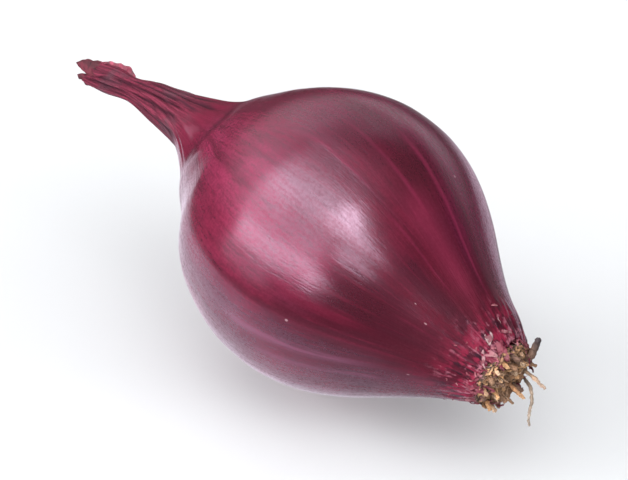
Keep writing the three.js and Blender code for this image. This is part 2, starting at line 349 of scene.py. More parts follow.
# The shoulder swells over the foot of the neck, and a faint crease parts the two.
SHOULDER_ANGLE = 118
SHOULDER_SPREAD = 0.95
SHOULDER_TOP = NECK_FOOT - 1.5
SHOULDER_CREASE = NECK_FOOT - 0.2
shoulder_side = bump_at(0, SHOULDER_SPREAD, turn_from(math.radians(SHOULDER_ANGLE), angle))
wander = 0.3 * np.sin(2 * angle + 0.8) + 0.3 * noise_round(angle, 2, 0, 6)
shoulder = 0.03 * bump_at(SHOULDER_TOP + wander, 1.2, height)
shoulder -= 0.045 * bump_at(SHOULDER_CREASE + wander, 0.5, height)

# Towards the roots the skin is cracked into flakes, and its edge is torn into teeth.
outer_side = radius > 2.2
foot_share = step_between(-15.9, -16.8, height) * outer_side
flaky_share = step_between(-13.2, -16.0, height) * outer_side
ragged = noise_round(angle, 7, 0.6, 7)
flaky = np.abs(noise_round(angle, 9, 0.7, 10)) - 0.2

# The neck is a little wider than it is thick at its end, and its mouth is torn into teeth.
END_FLATTENING = 0.25
swell = 1 + belly * (1 - on_neck) + folds * on_neck + shoulder * shoulder_side + side_swell
swell += 0.1 * foot_share * ragged + 0.06 * flaky_share * flaky
flattened = 1 - END_FLATTENING * step_between(NECK_FOOT + 7.6, NECK_END, height)
mouth_share = step_between(NECK_END - 1.8, NECK_END, height)
teeth = 0.9 * noise_round(angle, 2.1, 0, 8) + 0.4 * noise_round(angle, 6, 0, 9)
lean_up, lean_side = neck_lean(height)
points[:, 0] = radius * np.sin(angle) * swell * flattened + lean_up
points[:, 1] = radius * np.cos(angle) * swell / flattened + lean_side
points[:, 2] = height + mouth_share * (teeth - 0.3) + 0.25 * foot_share * ragged
write_points(skin, points * MM)
grain_columns = np.cos(angle), np.sin(angle), height / BULB_RADIUS
paint(skin, "grain", np.stack(grain_columns, 1), "FLOAT_VECTOR")
paint(skin, "ridge", ridge)
# Painted shade along the shoulder crease, stored with the painted shade of the neck's creases.
shoulder_crease_shade = 0.7 * shoulder_side * bump_at(SHOULDER_CREASE + wander, 0.35, height)
paint(skin, "crease_shade", np.clip(crease_shade, 0, 1) + shoulder_crease_shade)

lay_down(skin)
points = read_points(skin)
points[:, 2] = np.maximum(points[:, 2], 0)
write_points(skin, points)


class Wire:
    """One socket of a material. Sums and products of wires and numbers add Math nodes."""

    def __init__(self, tree, socket=None):
        self.tree = tree
        self.socket = socket

    def node(self, kind, settings=None, inputs=None, output=0):
        """A new node with its settings made first, and then its sockets filled or linked."""
        made = self.tree.nodes.new(kind)
        for name, value in (settings or {}).items():
            setattr(made, name, value)
        for name, value in (inputs or {}).items():
            if isinstance(value, Wire):
                self.tree.links.new(value.socket, made.inputs[name])
            else:
                made.inputs[name].default_value = value
        return Wire(self.tree, made.outputs[output])

    def stored(self, name, output="Fac"):
        """What was painted on the piece under a name."""
        return self.node("ShaderNodeAttribute", {"attribute_name": name}, output=output)

    def place(self):
        """Where a point of the piece is, in metres."""
        return self.node("ShaderNodeTexCoord", output="Object")

    def math(self, operation, *values):
        return self.node("ShaderNodeMath", {"operation": operation}, dict(enumerate(values)))

    def vector(self, operation, inputs, output=0):
        return self.node("ShaderNodeVectorMath", {"operation": operation}, inputs, output)

    def __add__(self, other):
        return self.math("ADD", self, other)

    __radd__ = __add__

    def __sub__(self, other):
        return self.math("SUBTRACT", self, other)

    def __rsub__(self, other):
        return self.math("SUBTRACT", other, self)

    def __mul__(self, other):
        return self.math("MULTIPLY", self, other)

    __rmul__ = __mul__

    def between(self, low, high):
        """0 where this is at low, 1 where it is at high, and smooth in between."""
        settings = {"interpolation_type": "SMOOTHSTEP"}
        inputs = {"Value": self, "From Min": low, "From Max": high}
        return self.node("ShaderNodeMapRange", settings, inputs)

    def near(self, middle, half_width):
        """1 where this is at the middle, falling to 0 a half width away."""
        return self.math("ABSOLUTE", self - middle).between(half_width, 0)

    def mix(self, first, second):
        """The first colour where this is 0, the second where it is 1."""
        settings = {"data_type": "RGBA"}
        return self.node("ShaderNodeMix", settings, {0: self, 6: first, 7: second}, 2)

    def dot(self, vector):
        """How far this vector reaches in the direction of another."""
        return self.vector("DOT_PRODUCT", {0: self, 1: vector}, "Value")

    def distance(self, middle):
        """How far this place is from a middle."""
        return self.vector("DISTANCE", {0: self, 1: middle}, "Value")

    def scaled(self, factor):
        """This colour or vector times a factor, a colour with its hue unchanged."""
        return self.vector("SCALE", {0: self, "Scale": factor})

    def noise(self, scale, detail=3, output=0):
        """Noise drawn on this vector, about 0.5 on average."""
        inputs = {"Vector": self, "Scale": scale, "Detail": detail}
        return self.node("ShaderNodeTexNoise", inputs=inputs, output=output)

    def relief(self, strength, depth):
        """Fine relief with this as its height, and with its full depth given in millimetres."""
        inputs = {"Height": self, "Strength": strength, "Distance": depth * MM}
        return self.node("ShaderNodeBump", inputs=inputs)


def wear(piece, material):
    """Gives a piece one material and no other."""
    piece.data.materials.clear()
    piece.data.materials.append(material)


def new_material(piece, name):
    """Gives a piece an empty material, and returns a wire to build it with and its shader."""
    material = bpy.data.materials.new(name)
    material.use_nodes = True
    wear(piece, material)
    return Wire(material.node_tree), material.node_tree.nodes["Principled BSDF"]


def connect(shader, inputs):
    """Fills the sockets of a shader, or links them to wires."""
    for name, value in inputs.items():
        if isinstance(value, Wire):
            value.tree.links.new(value.socket, shader.inputs[name])
        else:
            shader.inputs[name].default_value = value


def rgb(red, green, blue):
    return (red, green, blue, 1)


def finish(shader, colour, roughness, relief, gloss=0.5, gloss_tint=rgb(1, 1, 1)):
    """Connects what every surface here is made of."""
    inputs = {"Base Color": colour, "Roughness": roughness, "Normal": relief}
    connect(shader, inputs | {"Specular IOR Level": gloss, "Specular Tint": gloss_tint})


def layered(colour, layers):
    """A colour with others laid over it in turn, each given with the share it covers."""
    for share, tint in layers:
        colour = share.mix(colour, tint)
    return colour


CRIMSON = rgb(0.068, 0.0032, 0.012)
DARK_PURPLE = rgb(0.042, 0.004, 0.0105)
WARM_RED = rgb(0.1, 0.0045, 0.018)
DEEP_CRIMSON = rgb(0.036, 0.0025, 0.0075)
SHOULDER_AND_HIGHLIGHT_RED = rgb(0.19, 0.017, 0.053)
LOWER_RED = rgb(0.135, 0.013, 0.034)
VIOLET_SHEEN = rgb(0.15, 0.008, 0.048)
UMBER = rgb(0.03, 0.005, 0.008)
LILAC_AND_SHEEN = rgb(0.14, 0.034, 0.07)
VEIN_PINK = rgb(0.2, 0.018, 0.055)
DARK_LINE = rgb(0.03, 0.006, 0.01)
NECK_FOOT_RED = rgb(0.095, 0.005, 0.019)
NECK_RED = rgb(0.07, 0.009, 0.02)
NECK_PINK = rgb(0.155, 0.021, 0.043)
NECK_GREY = rgb(0.08, 0.038, 0.05)
# Painted shade in creases and slits, and also the dark of the neck's fine grain.
SHADE_AND_GRAIN_BLACK = rgb(0.02, 0.004, 0.009)
FLUSH = rgb(0.17, 0.009, 0.03)
TORN_PINK = rgb(0.3, 0.1, 0.14)
SPECK_PINK = rgb(0.35, 0.22, 0.24)
GLOSS_TINT = rgb(1.0, 0.72, 0.94)
MATT_TINT = rgb(1.0, 0.8, 0.92)

start, shader = new_material(skin, "dry_onion_skin")
grain = start.stored("grain", "Vector")
painted_crease_shade = start.stored("crease_shade")
ridge_highlight = start.stored("ridge")
place = start.place()
level = BULB_RADIUS * start.node("ShaderNodeSeparateXYZ", inputs={0: grain}, output="Z")


def along_fibres(round_scale, length_scale, detail=2, shift=0.0):
    """Noise drawn out along the plant: so many patches to each radian, so many to each radius."""
    inputs = {0: grain, "Scale": (round_scale, round_scale, length_scale)}
    inputs["Location"] = (shift, shift, shift)
    return grain.node("ShaderNodeMapping", inputs=inputs).noise(1, detail)


# Veins don't run quite straight: they are drawn on a grain that noise has moved a little.
VEIN_SWAY = 0.035
sway = grain.noise(2.2, 2, "Color")
centred = sway.vector("SUBTRACT", {0: sway, 1: (0.5, 0.5, 0.5)})
swayed = grain.vector("ADD", {0: grain, 1: centred.scaled(VEIN_SWAY)})


def facing(turn):
    """1 on the side of the plant at an angle in radians, and 0 a quarter turn from it."""
    return grain.dot((math.cos(turn), math.sin(turn), 0))


def strip(degrees, half_width, low, high, fade=1.6):
    """1 along a line up the plant at an angle, between two heights, and 0 beside it."""
    turn = math.radians(degrees)
    beside = swayed.dot((-math.sin(turn), math.cos(turn), 0))
    along = level.between(low - fade, low + fade) * level.between(high + fade, high - fade)
    return beside.near(0, math.radians(half_width)) * facing(turn).between(0, 0.2) * along


def spot(degrees, height, size):
    """1 at one small place on the skin, and 0 round it."""
    turn = math.radians(degrees)
    away = grain.distance((math.cos(turn), math.sin(turn), height / BULB_RADIUS))
    return away.between(size / BULB_RADIUS, 0.6 * size / BULB_RADIUS)


broad_fibres = along_fibres(9, 0.7)
fibres = along_fibres(30, 2.4, 3)
short_fibres = along_fibres(44, 9, 2, 3.3)
fine_fibres = along_fibres(95, 20, 2, 1.7)
streaks = along_fibres(3.2, 0.5, 3, 4.1)
leathery = place.noise(4600, 2)
patches = place.noise(130)
mottle = place.noise(420, 4)

# Thin pink veins. The first ones lie where they are seen best, and the rest follow the noise.
VEINS = [  # angle, half width, from height, to height, strength
    (74.5, 1.9, -13, -2.6, 0.6),
    (88, 1.5, -7, 1, 0.45),
    (103.5, 1.3, -12, -6, 0.25),
    (102, 1.3, -4, 2.6, 0.3),
    (138, 1.7, 4, 11, 0.25),
    (120, 1.3, 3, 9, 0.2),
    (-20, 1.6, -12, 1, 0.45),
    (-62, 1.5, -9, 4, 0.4),
    (-105, 1.6, -13, -1, 0.45),
    (28, 1.5, -8, 5, 0.4),
]
stray_veins = along_fibres(9, 0.3, 0, 2.7).near(0.52, 0.016) * patches.between(0.4, 0.6)
long_veins = 0.0
for degrees, half_width, low, high, strength in VEINS:
    long_veins = strength * strip(degrees, half_width, low, high) + long_veins
veins = (long_veins + 0.12 * stray_veins) * streaks.between(0.2, 0.5)

# The parts of the plant that differ. The gloss reaches further up the neck on its lower side.
UPPER_FRONT = 2.15
LOWER_SIDE = 3.4
GLOSS_REACH = 4.2
near_roots = level.between(-12.8, -16.2)
near_cone = level.between(-8.5, -14.0) * facing(UPPER_FRONT).between(0.3, 0.85)
at_foot = level.between(-15.6, -16.7)
neck_part = level.between(11.0, 14.5)
under_neck = facing(LOWER_SIDE).between(0.1, 0.8)
dry_part = (level - GLOSS_REACH * under_neck).between(9.8, 12.0)

# The shoulder is a paler red: partly the skin's own colour, partly a painted highlight that makes the
# broad highlight over it pinker.
shoulder_and_highlight = level.between(-4.5, 6.5) * (0.3 + 0.6 * strip(128, 30, -1, 12, 3))
fibre_share = 0.5 - 0.35 * level.between(-9, -13)
umber_patch = strip(80, 24, -8, 2.5, 3) + 0.6 * strip(-90, 20, -4, 3, 3)
red_bands = 0.45 * strip(156, 5, -9, -3) + 0.3 * strip(168, 2.5, -12, -4)
# Pale lilac stripes low on the front: partly the skin's own paler stripes, partly a painted
# reflection of the white table.
lilac_stripes_and_sheen = strip(181, 4, -10, 0) + 0.8 * strip(191, 3, -11, -3) + 0.7 * strip(-150, 6, -9, 3)
bulb_layers = [
    (streaks.between(0.38, 0.66), CRIMSON),
    (patches.between(0.45, 0.7), WARM_RED),
    (0.7 * strip(152, 34, -13.5, -5.5, 3), DEEP_CRIMSON),
    # Shoulder red, partly own colour and partly painted highlight; the second layer lays it under the
    # broad highlight.
    (shoulder_and_highlight, SHOULDER_AND_HIGHLIGHT_RED),
    (0.6 * strip(145, 26, -5.6, 3, 1.6), SHOULDER_AND_HIGHLIGHT_RED),
    # Painted sheen: the upper flank towards the back is lifted towards violet, as a pale reflection
    # tints it.
    (0.65 * strip(56, 40, -11, 5, 3), VIOLET_SHEEN),
    (0.55 * broad_fibres.between(0.45, 0.7), DARK_PURPLE),
    (fibre_share * fibres.between(0.5, 0.72), WARM_RED),
    (fibre_share * short_fibres.between(0.52, 0.3), DARK_PURPLE),
    (0.2 * mottle.between(0.42, 0.75), UMBER),
    (0.3 * leathery.between(0.62, 0.34), DARK_PURPLE),
    (umber_patch * (0.2 + 0.45 * patches.between(0.3, 0.65)), UMBER),
    (red_bands, WARM_RED),
    (0.6 * strip(90, 13, -13, -6), LOWER_RED),
    (0.6 * lilac_stripes_and_sheen * fibres.between(0.3, 0.6), LILAC_AND_SHEEN),
    (0.75 * veins, VEIN_PINK),
    (0.7 * strip(175.5, 0.55, -3, 3.6), DARK_LINE),
]

neck_grain = along_fibres(22, 3.2, 3, 7.9)
neck_layers = [
    (neck_grain.between(0.36, 0.66), NECK_PINK),
    (0.7 * mottle.between(0.52, 0.66), NECK_GREY),
    # Painted highlight along the rounded ridge.
    (0.75 * ridge_highlight, NECK_PINK),
    (0.4 * leathery.between(0.48, 0.3), SHADE_AND_GRAIN_BLACK),
    (level.between(16, 13), NECK_FOOT_RED),
]

# The cracked end by the roots: flushed patches, slits darkened with painted shade, and the pale
# edges of torn layers.
flush = 0.5 * along_fibres(8, 5, 3, 12.0) + 0.5 * place.noise(1100, 4)
slits = 0.6 * along_fibres(13, 5, 3, 16.4) + 0.4 * place.noise(1500, 3)
torn = 0.5 * along_fibres(15, 9, 4, 6.1) + 0.5 * place.noise(2100, 4)
torn_edges = (torn + 0.1 * at_foot).between(0.55, 0.66) * near_roots
SPECKS = [  # angle, height, size
    (168, -4.7, 0.13),
    (134, -12.2, 0.12),
    (182, -12.6, 0.11),
    (127, -11.0, 0.08),
    (60, -6, 0.1),
    (-40, 3, 0.11),
]
top_layers = [
    (neck_part, layered(NECK_RED, neck_layers)),
    # Painted shade in the neck's creases and along the shoulder crease.
    (0.85 * painted_crease_shade, SHADE_AND_GRAIN_BLACK),
    (0.9 * near_roots * flush.between(0.46, 0.56), FLUSH),
    # Painted shade in the slits.
    (near_roots * slits.between(0.55, 0.61), SHADE_AND_GRAIN_BLACK),
    (0.75 * torn_edges, TORN_PINK),
]
top_layers += [(0.6 * spot(*speck), SPECK_PINK) for speck in SPECKS]
colour = layered(DARK_PURPLE, bulb_layers + top_layers)

roughness = 0.14 + 0.06 * fibres + 0.05 * patches + 0.06 * at_foot
height_map = 0.2 * fibres + 0.18 * short_fibres + 0.15 * fine_fibres + 0.05 * leathery
height_map = height_map + 0.2 * broad_fibres + 0.2 * long_veins + 0.4 * near_roots * torn
dull_grain = 0.18 * leathery.between(0.42, 0.62) + 0.2 * streaks.between(0.42, 0.62)
dull_grain = dull_grain + 0.14 * short_fibres.between(0.45, 0.62) + 0.8 * near_cone
finish(shader, colour, roughness, height_map.relief(0.42, 0.08), 0.85, GLOSS_TINT)

# The shrivelled neck is dull: a second, rougher finish takes over there, and shows a little in
# the grain of the glossy part.
matt = start.tree.nodes.new("ShaderNodeBsdfPrincipled")
neck_relief = (neck_grain + mottle + 0.5 * fine_fibres).relief(0.6, 0.1)
finish(matt, colour, 0.45 + 0.25 * mottle, neck_relief, 0.13, MATT_TINT)
glossy_skin, matt_skin = (Wire(start.tree, kind.outputs[0]) for kind in (shader, matt))
shares = {0: dry_part + dull_grain, 1: glossy_skin, 2: matt_skin}
skin_surface = start.node("ShaderNodeMixShader", inputs=shares)
connect(start.tree.nodes["Material Output"], {"Surface": skin_surface})
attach(skin, "root")
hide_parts("bulb")


# ---- The frayed edge of the skin -----------------------------------------
# Round the root plate the dead outer scales have torn into papery shreds and slivers, bleached
# pinkish white. They hang on to the skin at one end and curl away from it at the other.

SKIN_EDGE = -16.7
PLATE_DEPTH = 0.35
FRAY_THICKNESS = 0.014
STRAND_STEPS = 8


def make_strand(sides, steps):
    """A closed strand of radius 1 and length 1 that runs up from the origin."""
    rise = {"value": (0, 0, 1 / steps)}
    bpy.ops.mesh.primitive_circle_add(vertices=sides, radius=1, fill_type="TRIFAN")
    strand = bpy.context.object
    bpy.ops.object.mode_set(mode="EDIT")
    for _ in range(steps):
        bpy.ops.mesh.extrude_region_move(TRANSFORM_OT_translate=rise)
    bpy.ops.mesh.select_all(action="SELECT")
    bpy.ops.mesh.normals_make_consistent(inside=False)
    bpy.ops.object.mode_set(mode="OBJECT")
    bpy.ops.object.shade_smooth()
    strand.select_set(False)
    return strand


def lay_strand(strand, path, towards, half_width, half_thickness, curl=0):
    """A copy of a strand laid along a path, with its flat side towards a direction at each point.
    The half sizes are functions of the share of its length, and curl cups it towards its tip."""
    piece = strand.copy()
    piece.data = strand.data.copy()
    bpy.context.scene.collection.objects.link(piece)
    across, through, share = read_points(piece).T
    share = np.clip(share, 0, 1)
    line = line_through(path, STRAND_STEPS)
    shares = np.linspace(0, 1, len(line))

    def at_share(values):
        return np.stack([np.interp(share, shares, column) for column in values.T], 1)

    middle = at_share(line)
    ahead = at_share(np.gradient(line, axis=0))
    face = at_share(line_through(towards, STRAND_STEPS))
    side = np.cross(face, ahead)
    side /= np.linalg.norm(side, axis=1)[:, None]
    face = np.cross(ahead, side)
    face /= np.linalg.norm(face, axis=1)[:, None]
    lift = through * half_thickness(share) + curl * across**2 * share
    write_points(piece, middle + side * (across * half_width(share))[:, None] + face * lift[:, None])
    paint(piece, "reach", share)
    return piece


def join_pieces(name, pieces):
    bpy.ops.object.select_all(action="DESELECT")
    for piece in pieces:
        piece.select_set(True)
    bpy.context.view_layer.objects.active = pieces[0]
    bpy.ops.object.join()
    pieces[0].name = name
    pieces[0].select_set(False)
    return pieces[0]


def on_skin(height, angle, lift):
    """A point that floats a little over the skin, and the skin's outward direction there."""
    radius = np.interp(height, skin_line[:, 0], skin_line[:, 1])
    upright = Vector((radius * math.sin(angle), radius * math.cos(angle), height)) * MM
    point, normal = skin.closest_point_on_mesh(lying @ upright)[1:3]
    return np.array(point + normal * lift * MM), np.array(normal)


fine_strand = make_strand(10, 10)


def shred(height, angle, length, slant, width, lift, curl, fold):
    """A sliver of skin that starts at a height, runs towards the roots and lifts off at its tip.
    What reaches past the skin's edge folds in over the root plate."""
    path, towards = [], []
    for share in (0, 0.35, 0.7, 1):
        low = height - length * share * math.cos(slant)
        turn = angle + length * share * math.sin(slant) / 3
        beyond = max(0, SKIN_EDGE - low)
        inwards = fold * max(0, beyond - PLATE_DEPTH)
        point, normal = on_skin(low, turn, 0.01 + lift * share**2)
        past_edge = Vector((-math.sin(turn) * inwards, -math.cos(turn) * inwards, -beyond)) * MM
        path.append(point + np.array(lying.to_3x3() @ past_edge))
        towards.append(normal)
    return lay_strand(
        fine_strand,
        path,
        towards,
        lambda share: width * MM * (0.3 + np.sin(math.pi * share**0.7) ** 0.7) * (1 - 0.35 * share),
        lambda share: FRAY_THICKNESS * MM * (1 - 0.5 * share),
        curl * width * MM,
    )


# Long shreds all round the edge, slivers scattered behind it, and short frays on the very rim. Each
# is kept with its least shade and with how much paler chance may make it.
LONG_SHREDS = 48
SLIVERS = 46
RIM_FRAYS = 40
rng = random.Random(41)
shreds = []
for number in range(LONG_SHREDS):
    turn = (number + rng.uniform(-0.8, 0.8)) / LONG_SHREDS * 2 * math.pi
    length, width = rng.uniform(0.5, 1.9), rng.uniform(0.05, 0.24)
    height, slant = rng.uniform(-16.6, -15.9), rng.gauss(0, 0.5)
    lift, curl, fold = rng.uniform(0.0, 0.25), rng.uniform(-0.6, 0.8), rng.uniform(0.2, 1.2)
    piece = shred(height, turn, length, slant, width, lift, curl, fold)
    shreds.append((piece, 0, 0.85))
for number in range(SLIVERS):
    turn = rng.uniform(0, 2 * math.pi)
    height = -16.4 + 2.4 * rng.random() ** 1.6
    length, width = rng.uniform(0.15, 0.6), rng.uniform(0.03, 0.08)
    slant, lift = rng.gauss(0, 0.7), rng.uniform(0.0, 0.05)
    piece = shred(height, turn, length, slant, width, lift, 0.3, 0.5)
    shreds.append((piece, 0, 0.85))
for number in range(RIM_FRAYS):
    turn = (number + rng.uniform(-0.7, 0.7)) / RIM_FRAYS * 2 * math.pi
    length, width = rng.uniform(0.45, 1.1), rng.uniform(0.05, 0.15)
    height, slant = rng.uniform(-16.75, -16.4), rng.gauss(0, 0.45)
    lift, curl, fold = rng.uniform(0.0, 0.12), rng.uniform(-0.4, 0.6), rng.uniform(0.7, 1.4)
    piece = shred(height, turn, length, slant, width, lift, curl, fold)
    shreds.append((piece, 0.5, 0.425))

# Those that stand out: a bleached flake, two strands that fork beside it, and a pink flap that
# hangs over the plate.
LARGE_SHREDS = [  # shade, height, angle in degrees, length, slant, width, lift, curl, fold
    (0.95, -15.3, 97, 0.9, 0.7, 0.26, 0.12, 0.4, 0.5),
    (0.75, -15.7, 84, 1.1, -1.1, 0.12, 0.1, 0.2, 0.4),
    (0.8, -15.9, 118, 1.3, 0.9, 0.1, 0.14, 0.2, 0.4),
    (0.35, -16.2, 98, 1.2, 0.1, 0.36, 0.1, 0.6, 0.9),
]
for shade, height, degrees, *shape in LARGE_SHREDS:
    piece = shred(height, math.radians(degrees), *shape)
    shreds.append((piece, shade, 0))

RAGGED_SCALE = 3000
RAGGED_DEPTH = 0.12
for piece, least_shade, paler in shreds:
    points = read_points(piece)
    ragged = [noise_at(tuple(RAGGED_SCALE * points.T), seed) for seed in (30, 31, 32)]
    write_points(piece, points + RAGGED_DEPTH * MM * np.stack(ragged, 1))
    shade = least_shade + paler * rng.random() ** 1.3
    paint(piece, "shade", np.full(len(points), shade))
frays = join_pieces("skin_frays", [piece for piece, *_ in shreds])

SHRED_RED = rgb(0.12, 0.01, 0.026)
SHRED_PINK = rgb(0.24, 0.07, 0.09)
SHRED_WHITE = rgb(0.3, 0.21, 0.22)
SHRED_TIP = rgb(0.36, 0.25, 0.23)
FLECK_RED = rgb(0.12, 0.015, 0.03)

start, shader = new_material(frays, "bleached_skin")
shade = start.stored("shade")
flecks = start.place().noise(2300)
paper_layers = [
    (shade.between(0.0, 0.6), SHRED_PINK),
    (shade.between(0.6, 1.0), SHRED_WHITE),
    (0.5 * start.stored("reach").between(0.3, 1.0) * shade, SHRED_TIP),
    (0.8 * flecks.between(0.46, 0.6), FLECK_RED),
]
paper = layered(SHRED_RED, paper_layers)
finish(shader, paper, 0.5 + 0.3 * flecks, flecks.relief(0.5, 0.08), 0.25)
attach(frays, "root")


# ---- The root plate ------------------------------------------------------
# The corky disc that the scales and roots grow from. It is a dead, pitted lump of tissue, held at
# the middle of the frayed skin and cracked between the bases of the roots. Its pits have painted
# shade in them.

PLATE_RADIUS = 2.62
PLATE_RIM = -17.11
PLATE_TOP = -16.0
PLATE_BOTTOM = -17.36
PLATE_SIDES = 96
PLATE_RINGS = 48

bpy.ops.mesh.primitive_uv_sphere_add(
    segments=PLATE_SIDES, ring_count=PLATE_RINGS, radius=PLATE_RADIUS * MM
)
plate = bpy.context.object
plate.name = "corky_plate"
points = read_points(plate) / MM
thickness = np.where(points[:, 2] > 0, PLATE_TOP - PLATE_RIM, PLATE_RIM - PLATE_BOTTOM)
lumps = noise_at(tuple(1.5 * points.T), 11)
pits = np.abs(noise_at(tuple(2.3 * points.T), 12))
chips = noise_at((2.4 * points[:, 0], 2.4 * points[:, 1], 4 * points[:, 2]), 13)
points[:, :2] *= 1 + 0.05 * lumps[:, None] + 0.12 * chips[:, None]
rim_share = step_between(1.95, 2.6, np.hypot(points[:, 0], points[:, 1]))
points[:, 2] = PLATE_RIM + points[:, 2] / PLATE_RADIUS * thickness
face_share = step_between(-17.0, -17.25, points[:, 2])
points[:, 2] += face_share * (0.75 * (0.3 - pits) - 0.25 * lumps - 0.15)
write_points(plate, points * MM)
# How deep each pit is, which sets the painted shade in it.
paint(plate, "pit", np.clip(pits * 2.2 * (1 - 0.5 * rim_share), 0, 1))
lay_down(plate)

CORK_BROWN = rgb(0.22, 0.11, 0.06)
CORK_TAN = rgb(0.4, 0.22, 0.11)
CRUMB_PALE = rgb(0.5, 0.34, 0.22)
PIT_SHADE = rgb(0.045, 0.022, 0.015)
start, shader = new_material(plate, "cork")
place = start.place()
crumbs = place.noise(2600)
dust = place.noise(900)
cork_layers = [
    (dust.between(0.35, 0.65), CORK_TAN),
    (0.7 * crumbs.between(0.55, 0.7), CRUMB_PALE),
    # Painted shade in the pits.
    (start.stored("pit").between(0.42, 0.12), PIT_SHADE),
]
cork = layered(CORK_BROWN, cork_layers)
finish(shader, cork, 0.8 + 0.15 * dust, (crumbs + dust).relief(0.9, 0.12))
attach(plate, "root")
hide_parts("root_plate")


# ---- The dried roots -----------------------------------------------------
# Dead roots that broke off short when the set was cleaned. Each grows out of the plate, and has
# dried into a wrinkled, flattened straw, pale where it catches the light. Shade is painted into its
# wrinkles and at its foot, where it meets the plate.

GAP_SHADE = rgb(0.03, 0.018, 0.015)
MERGE_DISTANCE = 0.002
SHRINKAGE = 0.06
WRINKLE_DEPTH = 0.12
LONG_ROOT_TINTS = {  # the colour at its foot, the colour at its tip
    "hanging_root": ((0.28, 0.2, 0.14), (0.42, 0.34, 0.28)),
    "straight_root": ((0.36, 0.22, 0.12), (0.4, 0.29, 0.23)),
    "side_root": ((0.3, 0.12, 0.045), (0.48, 0.29, 0.16)),
    "upturned_root": ((0.26, 0.15, 0.1), (0.02, 0.012, 0.016)),
}
LONG_ROOT_SWELLS = {"upturned_root": 0.1}  # how much thicker than the others
SHORT_ROOT_TINTS = [
    ((0.26, 0.14, 0.075), (0.44, 0.3, 0.2)),
    ((0.2, 0.105, 0.055), (0.3, 0.18, 0.11)),
    ((0.3, 0.135, 0.05), (0.45, 0.25, 0.12)),
    ((0.14, 0.075, 0.045), (0.26, 0.14, 0.08)),
    ((0.08, 0.04, 0.028), (0.15, 0.08, 0.055)),
]
root_names = sorted(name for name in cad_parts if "root" in name and name != "root_plate")
upright = lying.inverted()
roots = []
for number, name in enumerate(root_names):
    root = bpy.data.objects.new("dried_" + name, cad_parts[name].data.copy())
    bpy.context.scene.collection.objects.link(root)
    bpy.context.view_layer.objects.active = root
    root.select_set(True)
    bpy.ops.object.mode_set(mode="EDIT")
    bpy.ops.mesh.select_all(action="SELECT")
    bpy.ops.mesh.remove_doubles(threshold=MERGE_DISTANCE * MM)
    bpy.ops.mesh.tris_convert_to_quads()
    bpy.ops.object.mode_set(mode="OBJECT")
    apply_modifier(root, "SUBSURF", levels=2, render_levels=2)
    bpy.ops.object.shade_smooth()
    root.select_set(False)

    points = read_points(root)
    local = np.array([upright @ Vector(point) for point in points]) / MM
    foot = local[local[:, 2] > local[:, 2].max() - 0.15].mean(0)
    reach = np.linalg.norm(local - foot, axis=1)
    reach /= reach.max()
    columns = (3.5 * local[:, 0], 3.5 * local[:, 1], 1.4 * local[:, 2])
    shrink = noise_at(columns, 20 + number)
    wrinkle = np.abs(noise_at(tuple(2.6 * column for column in columns), 80 + number))
    normals = np.array([vertex.normal for vertex in root.data.vertices])
    outwards = SHRINKAGE * shrink - WRINKLE_DEPTH * (0.35 - wrinkle)
    outwards += LONG_ROOT_SWELLS.get(name, 0)
    write_points(root, points + normals * (outwards * MM)[:, None])
    paint(root, "reach", reach)
    short_tints = SHORT_ROOT_TINTS[number * 3 % len(SHORT_ROOT_TINTS)]
    at_base, at_tip = (np.array(tint) for tint in LONG_ROOT_TINTS.get(name, short_tints))
    paint(root, "tint", at_base + (at_tip - at_base) * reach[:, None], "FLOAT_VECTOR")
    paint(root, "wrinkle", np.clip(wrinkle * 3, 0, 1))
    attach(root, "root")
    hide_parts(name)
    roots.append(root)

start, shader = new_material(roots[0], "dried_root")
dried_root = roots[0].data.materials[0]
for root in roots[1:]:
    wear(root, dried_root)
tint = start.stored("tint", "Color")
mottle = start.place().noise(1500)
straw_layers = [
    (mottle.between(0.5, 0.7), tint.scaled(1.45)),
    (mottle.between(0.5, 0.3), tint.scaled(0.6)),
    # Painted shade in the grooves of the wrinkles.
    (0.7 * start.stored("wrinkle").between(0.55, 0.1), tint.scaled(0.35)),
    # Painted shade at the foot of each root, where it meets the plate.
    (start.stored("reach").between(0.3, 0.0), GAP_SHADE),
]
straw = layered(tint, straw_layers)
finish(shader, straw, 0.65 + 0.2 * mottle, mottle.relief(0.6, 0.1))


# ---- Root hairs ----------------------------------------------------------
# Threads of dead root, finer than a hair, matted over the plate and between the roots.

HAIRS = 46
HAIR_SPREAD = 2.0
hairs = []
for _ in range(HAIRS):
    turn, ring = rng.uniform(0, 2 * math.pi), HAIR_SPREAD * math.sqrt(rng.random())
    heading, length = turn + rng.gauss(0, 1.4), rng.uniform(0.5, 1.5)
    depth, dip = rng.uniform(-17.5, -17.2), rng.uniform(0.2, 0.75)
    path = []
    for share in (0, 0.33, 0.67, 1):
        heading += rng.gauss(0, 0.35)
        run = length * share
        x = ring * math.sin(turn) + run * math.sin(heading) * 0.8
        y = ring * math.cos(turn) + run * math.cos(heading) * 0.8
        edge = 1 / (1 + max(0, math.hypot(x, y) - 1.6) / 2.2)
        low = depth - dip * math.sin(2.4 * share)
        path.append(np.array(lying @ (Vector((x * edge, y * edge, low)) * MM)))
    thick = rng.uniform(0.03, 0.075) * MM
    away_from_neck = np.array(lying.to_3x3() @ Vector((0, 0, -1)))
    hair = lay_strand(
        fine_strand,
        path,
        [away_from_neck] * len(path),
        lambda share: thick * (1 - 0.6 * share),
        lambda share: thick * (0.8 - 0.5 * share),
    )
    size = len(hair.data.vertices)
    tip_tint = rng.choice(SHORT_ROOT_TINTS)[1]
    paint(hair, "tint", np.tile(tip_tint, size), "FLOAT_VECTOR")
    paint(hair, "wrinkle", np.full(size, 0.8))
    hairs.append(hair)
mat = join_pieces("root_hairs", hairs)
wear(mat, dried_root)
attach(mat, "root")


